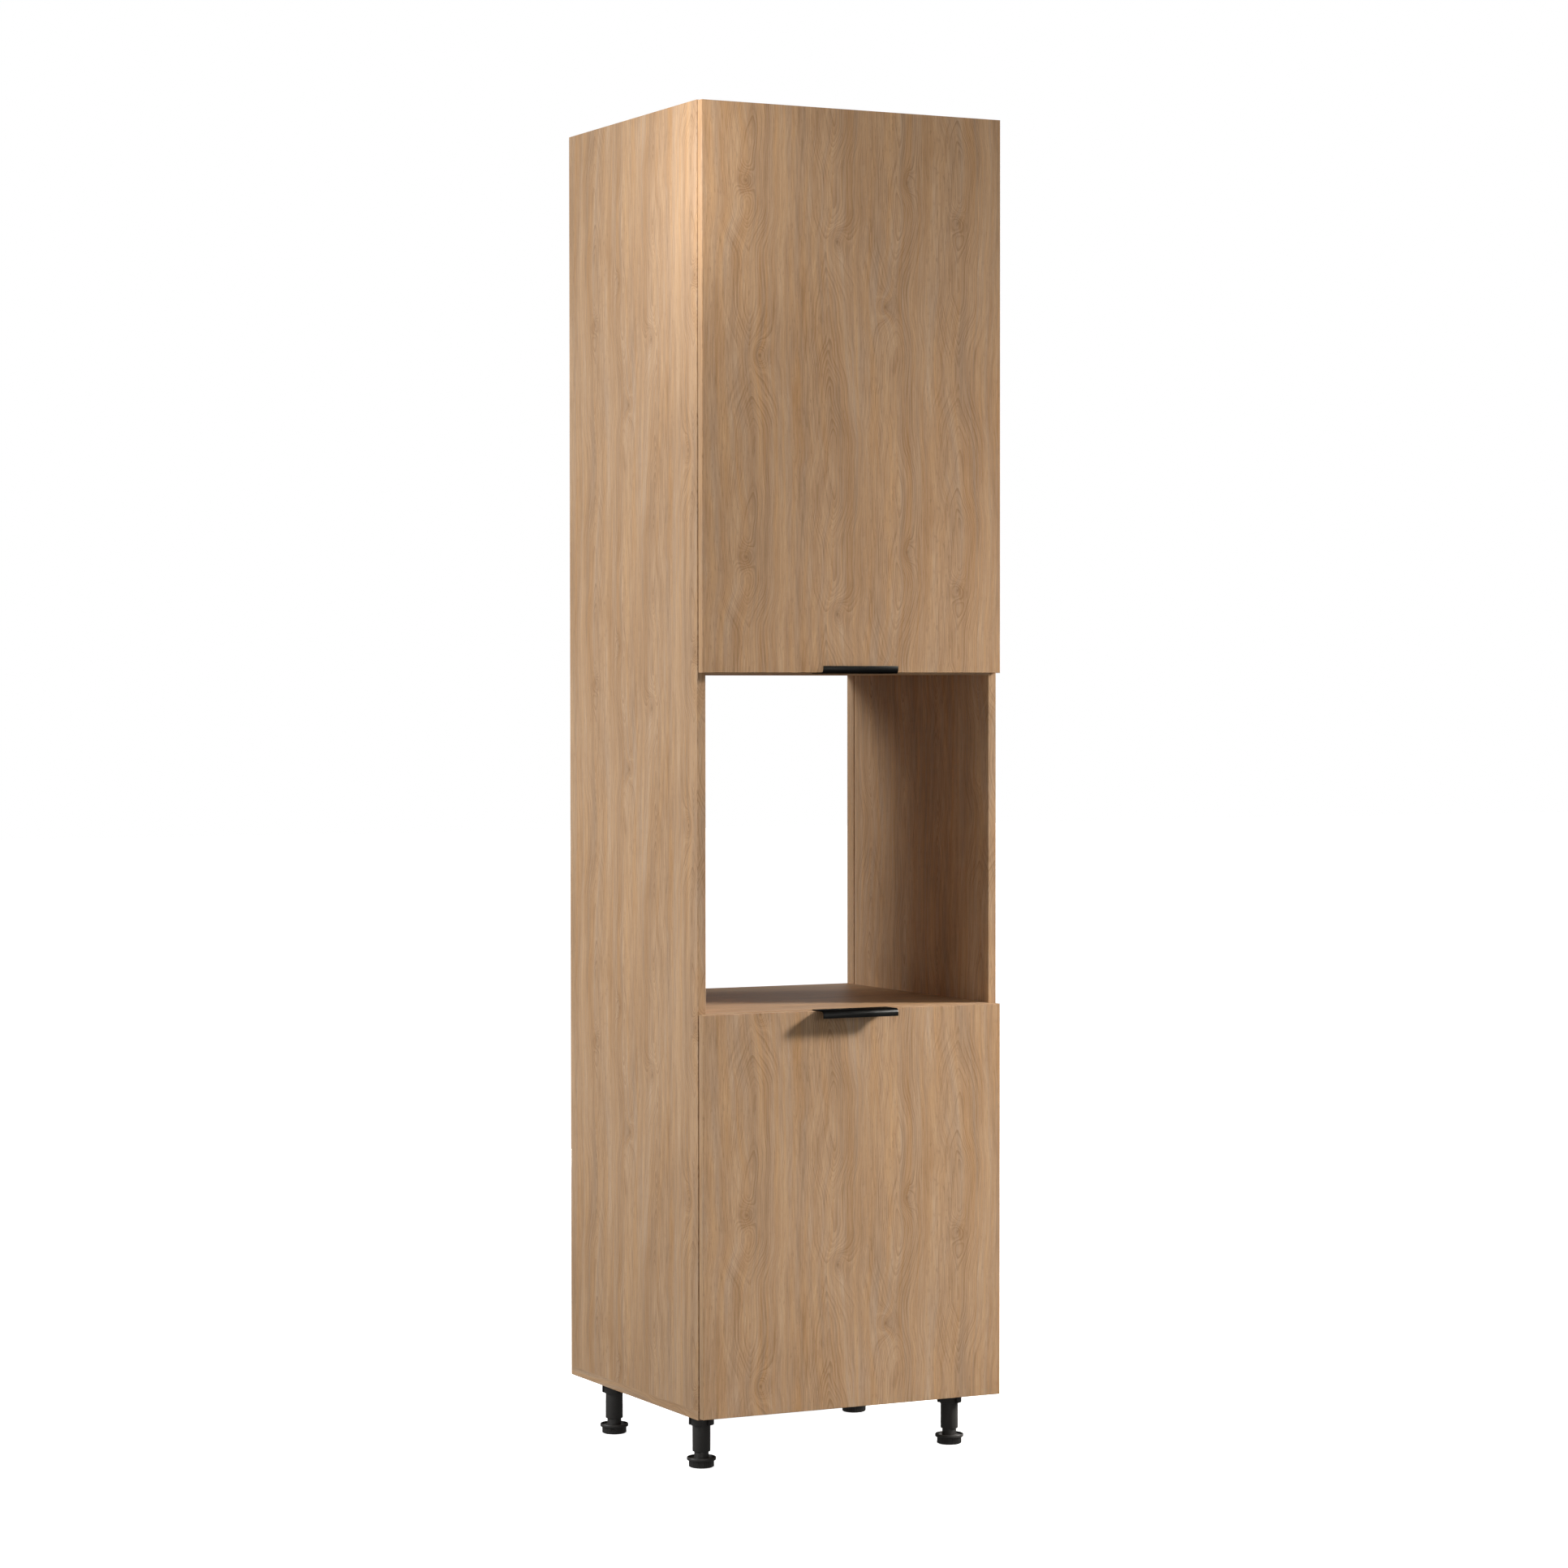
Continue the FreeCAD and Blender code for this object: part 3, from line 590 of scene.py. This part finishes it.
def leg_tube(corner):
    node = f"{corner}_leg_tube"
    centre, low, high = middle(node)
    rows = [
        (low + tube_edge, tube_bore),
        (low, tube_bore + tube_edge),
        *rounded(low, 1, tube_edge, lambda inset: tube_radius - inset),
        (high, tube_radius),
        (high, tube_bore),
    ]
    turned(f"{corner}_tube", rows, even_angles(tube_steps), centre, True, "carcass", node)


def leg_collar(corner):
    """The collar below the bottom panel, with a slot on each of its four sides."""
    node = f"{corner}_leg_collar"
    centre, low, _ = middle(node)
    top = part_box("bottom_panel")[0].z
    pitch = 2 * math.pi / slots_per_collar
    half_slot = math.asin(slot_half_width / collar_radius)
    angles = []
    cut = []
    for number in range(slots_per_collar):
        start = number * pitch
        for i in range(slot_steps + 1):
            angles.append(start - half_slot + 2 * half_slot * i / slot_steps)
            cut.append(True)
        for i in range(wall_steps + 1):
            angles.append(start + half_slot + (pitch - 2 * half_slot) * i / wall_steps)
            cut.append(False)

    def slotted(inset):
        return [slot_floor if in_slot else collar_radius - inset for in_slot in cut]

    rows = [
        (low + collar_edge, collar_bore),
        (low, collar_bore + collar_edge),
        *rounded(low, 1, collar_edge, slotted),
        (top, slotted(0.0)),
        (top, collar_bore),
    ]
    turned(f"{corner}_collar", rows, angles, centre, True, "carcass", node)


for corner in ("front_left", "front_right", "rear_left", "rear_right"):
    leg_foot(corner)
    leg_tube(corner)
    leg_collar(corner)


# Floor, light and camera

white = (1, 1, 1, 1)
floor_size = 60
floor_dark = (0.90, 0.90, 0.90)
floor_light = (0.93, 0.93, 0.93)
# The floor glows less near the cabinet: painted shade under it
floor_glow_painted_shade_near = 0.95
floor_glow_far = 1.0
backdrop_light = 1.0
room_light = 0.13


def pale_floor():
    """A pale floor that glows like the white backdrop, with painted shade: its glow is dimmed a little under
    and near the cabinet.
    """
    bpy.ops.mesh.primitive_plane_add(size=floor_size, location=(0, 0, 0))
    floor = bpy.context.object
    floor.name = "floor"
    s = Shader("floor")
    x, y, z = s.coords()
    cloud = s.noise(s.join(x, y, z), scale=0.5, detail=2)
    colour = s.ramp(cloud, ((0.0, floor_dark), (1.0, floor_light)))
    reach = s.math("SQRT", s.add(s.times(x, x), s.times(y, y)))
    # Painted shade: the glow is dimmed near the cabinet, so the floor is darker under it
    glow_with_painted_shade = s.spread(reach, 0.4, 1.6, floor_glow_painted_shade_near, floor_glow_far, smooth=True)
    s.feed(s.surface.inputs["Emission Strength"], glow_with_painted_shade)
    s.finish(colour, 0.9, Emission_Color=white, Specular_IOR_Level=0.0)
    floor.data.materials.append(s.material)
    floor.visible_diffuse = False
    floor.visible_glossy = False


def area(name, place, target, size, power, colour, spread=180.0, gleam=True):
    """A round lamp that shines from a place to a target. Without gleam, no surface mirrors it."""
    lamp = bpy.data.lights.new(name, "AREA")
    lamp.shape = "DISK"
    lamp.size = size
    lamp.energy = power
    lamp.color = colour
    lamp.spread = math.radians(spread)
    thing = bpy.data.objects.new(name, lamp)
    thing.location = place
    thing.rotation_mode = "QUATERNION"
    thing.rotation_quaternion = (Vector(target) - Vector(place)).to_track_quat("-Z", "Y")
    thing.visible_camera = False
    thing.visible_glossy = gleam
    scene.collection.objects.link(thing)


def studio_world():
    """White where the camera looks past the part, and a dim room for the light that falls on it."""
    world = bpy.data.worlds.new("studio")
    world.use_nodes = True
    tree = world.node_tree
    backdrop = tree.nodes["Background"]
    backdrop.inputs["Color"].default_value = white
    backdrop.inputs["Strength"].default_value = backdrop_light
    room = tree.nodes.new("ShaderNodeBackground")
    room.inputs["Color"].default_value = white
    room.inputs["Strength"].default_value = room_light
    path = tree.nodes.new("ShaderNodeLightPath")
    blend = tree.nodes.new("ShaderNodeMixShader")
    tree.links.new(path.outputs["Is Camera Ray"], blend.inputs[0])
    tree.links.new(room.outputs[0], blend.inputs[1])
    tree.links.new(backdrop.outputs[0], blend.inputs[2])
    tree.links.new(blend.outputs[0], tree.nodes["World Output"].inputs[0])
    scene.world = world


# The photograph's camera, from a fit to its edges
camera_place = (-3.3924, -6.7184, 1.3842)
camera_yaw = math.radians(26.770)
camera_pitch = math.radians(-1.334)
camera_roll = math.radians(-0.0488)
camera_lens = 94.13
camera_sensor = 36.0


def photo_camera():
    level = math.cos(camera_pitch)
    forward = Vector((math.sin(camera_yaw) * level, math.cos(camera_yaw) * level, math.sin(camera_pitch)))
    right = Vector((math.cos(camera_yaw), -math.sin(camera_yaw), 0))
    right = right * math.cos(camera_roll) + right.cross(forward) * math.sin(camera_roll)
    up = right.cross(forward)
    data = bpy.data.cameras.new("camera")
    data.sensor_width = camera_sensor
    data.lens = camera_lens
    camera = bpy.data.objects.new("camera", data)
    turn = Matrix((right, up, -forward)).transposed().to_4x4()
    camera.matrix_world = Matrix.Translation(camera_place) @ turn
    scene.collection.objects.link(camera)
    scene.camera = camera


pale_floor()
studio_world()
door_foot = (0, -0.2, 0.2)
warm = (1.0, 0.971, 0.929)
cool = (0.965, 0.975, 0.985)
area("key", (4.09, -2.07, 3.05), door_foot, size=0.8, power=40.5, colour=warm, spread=70)
area("key_low", (4.18, -1.86, 3.04), door_foot, size=0.8, power=10.3, colour=warm, spread=40)
area("rear_left", (-4.01, 1.44, 2.64), (0, 0, 1.2), size=1.5, power=103, colour=cool)
area("left", (-2.0, 0.0, 0.95), (0, 0, 0.95), size=1.5, power=15.6, colour=cool)
area("corner", (-0.65, -0.48, 2.34), (-0.3, -0.22, 2.28), size=0.25, power=2.9, colour=cool)
area("front_low", (-1.5, -4.0, 0.3), (0, 0, 0.6), size=1.4, power=13.6, colour=warm)
area("front_high", (0.5, -4.0, 1.5), (0, 0, 1.0), size=1.4, power=11.3, colour=warm)
area("rear_right", (2.9, 4.6, 2.2), (0, 0, 1.25), size=1.6, power=6, colour=warm)
area("back", (1.6, 4.6, 0.3), (0, 0, 1.1), size=0.8, power=60, colour=cool, gleam=False)
area("top", (0.3, 0.4, 5.5), (0, 0, 2.4), size=1.5, power=30, colour=cool)
photo_camera()
scene.view_settings.view_transform = "Standard"
